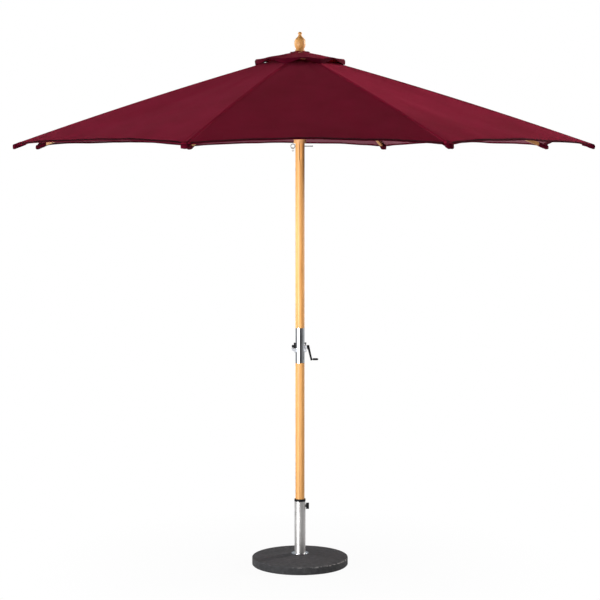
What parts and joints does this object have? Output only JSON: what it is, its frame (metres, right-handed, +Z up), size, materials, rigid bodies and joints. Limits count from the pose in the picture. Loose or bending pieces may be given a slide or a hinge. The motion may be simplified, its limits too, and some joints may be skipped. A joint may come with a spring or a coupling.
{
  "type": "patio umbrella",
  "caption": "Octagonal crank-lift patio umbrella with a vented fabric canopy on a wooden pole, folding ribs and struts, and a round weighted base with a steel tube.",
  "frame": {"origin": "on the floor, under the middle of the pole", "axes": "+Z up, +X towards the crank"},
  "size_m": [2.7822, 2.7822, 2.7492],
  "materials": {
    "canopy_fabric": "woven polyester, matt",
    "pole_wood": "clear-varnished hardwood",
    "frame_wood": "varnished hardwood",
    "polished_steel": "polished",
    "brushed_steel": "brushed",
    "steel_pin": "bright zinc",
    "cast_grey": "cast, satin",
    "black_metal": "black powder coat",
    "black_plastic": "moulded, matt",
    "base_concrete": "black painted concrete, rough",
    "foot_rubber": "matt"
  },
  "bodies": {
    "base": {"base_weight": "base_concrete", "base_feet": "foot_rubber", "base_flange": "polished_steel", "base_bolt": "steel_pin", "base_tube": "brushed_steel"},
    "collar": {"reducer_collar": "black_plastic"},
    "lower_pole": {"lower_pole": "pole_wood"},
    "upper_pole": {"upper_pole": "pole_wood", "joint_sleeve": "polished_steel", "sleeve_screws": "polished_steel", "winch_housing_right": "cast_grey", "winch_housing_left": "cast_grey", "winch_cover": "black_plastic", "top_hub": "frame_wood", "hub_pins": "steel_pin", "vent_cap": "canopy_fabric", "finial": "pole_wood"},
    "crank": {"winch_drum": "steel_pin", "crank_arm": "black_metal"},
    "grip": {"crank_grip": "black_plastic"},
    "pulley": {"pulley_wheel": "steel_pin"},
    "runner": {"runner": "frame_wood", "runner_pins": "steel_pin"},
    "lock_pin": {"lock_pin": "steel_pin"},
    "lock_link": {"lock_link": "steel_pin"},
    "clamp_pad": {"clamp_pad": "steel_pin"},
    "clamp_knob": {"clamp_screw": "steel_pin", "clamp_knob": "black_plastic"},
    "rib_1": {"rib_1": "frame_wood", "rib_bracket_1": "steel_pin", "canopy_panel_1": "canopy_fabric"},
    "strut_1": {"strut_1": "frame_wood"},
    "rib_2": {"rib_2": "frame_wood", "rib_bracket_2": "steel_pin", "canopy_panel_2": "canopy_fabric"},
    "strut_2": {"strut_2": "frame_wood"},
    "rib_3": {"rib_3": "frame_wood", "rib_bracket_3": "steel_pin", "canopy_panel_3": "canopy_fabric"},
    "strut_3": {"strut_3": "frame_wood"},
    "rib_4": {"rib_4": "frame_wood", "rib_bracket_4": "steel_pin", "canopy_panel_4": "canopy_fabric"},
    "strut_4": {"strut_4": "frame_wood"},
    "rib_5": {"rib_5": "frame_wood", "rib_bracket_5": "steel_pin", "canopy_panel_5": "canopy_fabric"},
    "strut_5": {"strut_5": "frame_wood"},
    "rib_6": {"rib_6": "frame_wood", "rib_bracket_6": "steel_pin", "canopy_panel_6": "canopy_fabric"},
    "strut_6": {"strut_6": "frame_wood"},
    "rib_7": {"rib_7": "frame_wood", "rib_bracket_7": "steel_pin", "canopy_panel_7": "canopy_fabric"},
    "strut_7": {"strut_7": "frame_wood"},
    "rib_8": {"rib_8": "frame_wood", "rib_bracket_8": "steel_pin", "canopy_panel_8": "canopy_fabric"},
    "strut_8": {"strut_8": "frame_wood"}
  },
  "joints": [
    {"name": "pole_swivel", "type": "hinge", "parent": "base", "child": "collar", "pos_m": [0, 0, 0.3347], "axis": [0, 0, 1], "continuous": true},
    {"name": "pole_lift", "type": "slide", "parent": "collar", "child": "lower_pole", "axis": [0, 0, 1], "range_m": [0, 0.25]},
    {"name": "upper_pole_lift", "type": "slide", "parent": "lower_pole", "child": "upper_pole", "axis": [0, 0, 1], "range_m": [0, 0.04]},
    {"name": "canopy_fold", "type": "hinge", "parent": "upper_pole", "child": "rib_1", "pos_m": [0.03326, 0.01378, 2.62], "axis": [-0.3827, 0.9239, 0], "range_deg": [0, 65]},
    {"name": "strut_swing_1", "type": "hinge", "parent": "rib_1", "child": "strut_1", "pos_m": [0.59632, 0.247, 2.42462], "axis": [-0.3827, 0.9239, 0], "range_deg": [-130, 0]},
    {"name": "rib_fold_2", "type": "hinge", "parent": "upper_pole", "child": "rib_2", "pos_m": [0.01378, 0.03326, 2.62], "axis": [-0.9239, 0.3827, 0], "range_deg": [0, 65]},
    {"name": "strut_swing_2", "type": "hinge", "parent": "rib_2", "child": "strut_2", "pos_m": [0.247, 0.59632, 2.42462], "axis": [-0.9239, 0.3827, 0], "range_deg": [-130, 0]},
    {"name": "rib_fold_3", "type": "hinge", "parent": "upper_pole", "child": "rib_3", "pos_m": [-0.01378, 0.03326, 2.62], "axis": [-0.9239, -0.3827, 0], "range_deg": [0, 65]},
    {"name": "strut_swing_3", "type": "hinge", "parent": "rib_3", "child": "strut_3", "pos_m": [-0.247, 0.59632, 2.42462], "axis": [-0.9239, -0.3827, 0], "range_deg": [-130, 0]},
    {"name": "rib_fold_4", "type": "hinge", "parent": "upper_pole", "child": "rib_4", "pos_m": [-0.03326, 0.01378, 2.62], "axis": [-0.3827, -0.9239, 0], "range_deg": [0, 65]},
    {"name": "strut_swing_4", "type": "hinge", "parent": "rib_4", "child": "strut_4", "pos_m": [-0.59632, 0.247, 2.42462], "axis": [-0.3827, -0.9239, 0], "range_deg": [-130, 0]},
    {"name": "rib_fold_5", "type": "hinge", "parent": "upper_pole", "child": "rib_5", "pos_m": [-0.03326, -0.01378, 2.62], "axis": [0.3827, -0.9239, 0], "range_deg": [0, 65]},
    {"name": "strut_swing_5", "type": "hinge", "parent": "rib_5", "child": "strut_5", "pos_m": [-0.59632, -0.247, 2.42462], "axis": [0.3827, -0.9239, 0], "range_deg": [-130, 0]},
    {"name": "rib_fold_6", "type": "hinge", "parent": "upper_pole", "child": "rib_6", "pos_m": [-0.01378, -0.03326, 2.62], "axis": [0.9239, -0.3827, 0], "range_deg": [0, 65]},
    {"name": "strut_swing_6", "type": "hinge", "parent": "rib_6", "child": "strut_6", "pos_m": [-0.247, -0.59632, 2.42462], "axis": [0.9239, -0.3827, 0], "range_deg": [-130, 0]},
    {"name": "rib_fold_7", "type": "hinge", "parent": "upper_pole", "child": "rib_7", "pos_m": [0.01378, -0.03326, 2.62], "axis": [0.9239, 0.3827, 0], "range_deg": [0, 65]},
    {"name": "strut_swing_7", "type": "hinge", "parent": "rib_7", "child": "strut_7", "pos_m": [0.247, -0.59632, 2.42462], "axis": [0.9239, 0.3827, 0], "range_deg": [-130, 0]},
    {"name": "rib_fold_8", "type": "hinge", "parent": "upper_pole", "child": "rib_8", "pos_m": [0.03326, -0.01378, 2.62], "axis": [0.3827, 0.9239, 0], "range_deg": [0, 65]},
    {"name": "strut_swing_8", "type": "hinge", "parent": "rib_8", "child": "strut_8", "pos_m": [0.59632, -0.247, 2.42462], "axis": [0.3827, 0.9239, 0], "range_deg": [-130, 0]},
    {"name": "runner_pivot", "type": "hinge", "parent": "strut_1", "child": "runner", "pos_m": [0.03326, 0.01378, 2.22923], "axis": [-0.3827, 0.9239, 0], "range_deg": [0, 65]},
    {"name": "crank_turn", "type": "hinge", "parent": "upper_pole", "child": "crank", "pos_m": [0, 0, 1.142], "axis": [1, 0, 0], "range_deg": [0, 3900]},
    {"name": "grip_spin", "type": "hinge", "parent": "crank", "child": "grip", "pos_m": [0.079, 0, 1.076], "axis": [1, 0, 0], "continuous": true},
    {"name": "pulley_turn", "type": "hinge", "parent": "upper_pole", "child": "pulley", "pos_m": [0.012, 0, 2.56], "axis": [0, 1, 0], "range_deg": [0, 3900]},
    {"name": "lock_pin_pull", "type": "slide", "parent": "upper_pole", "child": "lock_pin", "axis": [-1, 0, 0], "range_m": [0, 0.065]},
    {"name": "link_swing", "type": "hinge", "parent": "lock_pin", "child": "lock_link", "pos_m": [-0.0364, 0, 2.16093], "axis": [1, 0, 0], "range_deg": [-50, 50]},
    {"name": "clamp_travel", "type": "slide", "parent": "base", "child": "clamp_pad", "axis": [1, 0, 0], "range_m": [0, 0.006]},
    {"name": "clamp_turn", "type": "hinge", "parent": "clamp_pad", "child": "clamp_knob", "pos_m": [0.035, 0, 0.309], "axis": [1, 0, 0], "range_deg": [0, 1730]}
  ],
  "couplings": [
    {"joint": "strut_swing_1", "follows": "canopy_fold", "ratio": -2},
    {"joint": "rib_fold_2", "follows": "canopy_fold", "ratio": 1},
    {"joint": "strut_swing_2", "follows": "canopy_fold", "ratio": -2},
    {"joint": "rib_fold_3", "follows": "canopy_fold", "ratio": 1},
    {"joint": "strut_swing_3", "follows": "canopy_fold", "ratio": -2},
    {"joint": "rib_fold_4", "follows": "canopy_fold", "ratio": 1},
    {"joint": "strut_swing_4", "follows": "canopy_fold", "ratio": -2},
    {"joint": "rib_fold_5", "follows": "canopy_fold", "ratio": 1},
    {"joint": "strut_swing_5", "follows": "canopy_fold", "ratio": -2},
    {"joint": "rib_fold_6", "follows": "canopy_fold", "ratio": 1},
    {"joint": "strut_swing_6", "follows": "canopy_fold", "ratio": -2},
    {"joint": "rib_fold_7", "follows": "canopy_fold", "ratio": 1},
    {"joint": "strut_swing_7", "follows": "canopy_fold", "ratio": -2},
    {"joint": "rib_fold_8", "follows": "canopy_fold", "ratio": 1},
    {"joint": "strut_swing_8", "follows": "canopy_fold", "ratio": -2},
    {"joint": "runner_pivot", "follows": "canopy_fold", "ratio": 1},
    {"joint": "crank_turn", "follows": "canopy_fold", "ratio": 60},
    {"joint": "pulley_turn", "follows": "canopy_fold", "ratio": 60},
    {"joint": "clamp_turn", "follows": "clamp_travel", "rad_per_m": 5026.5}
  ]
}
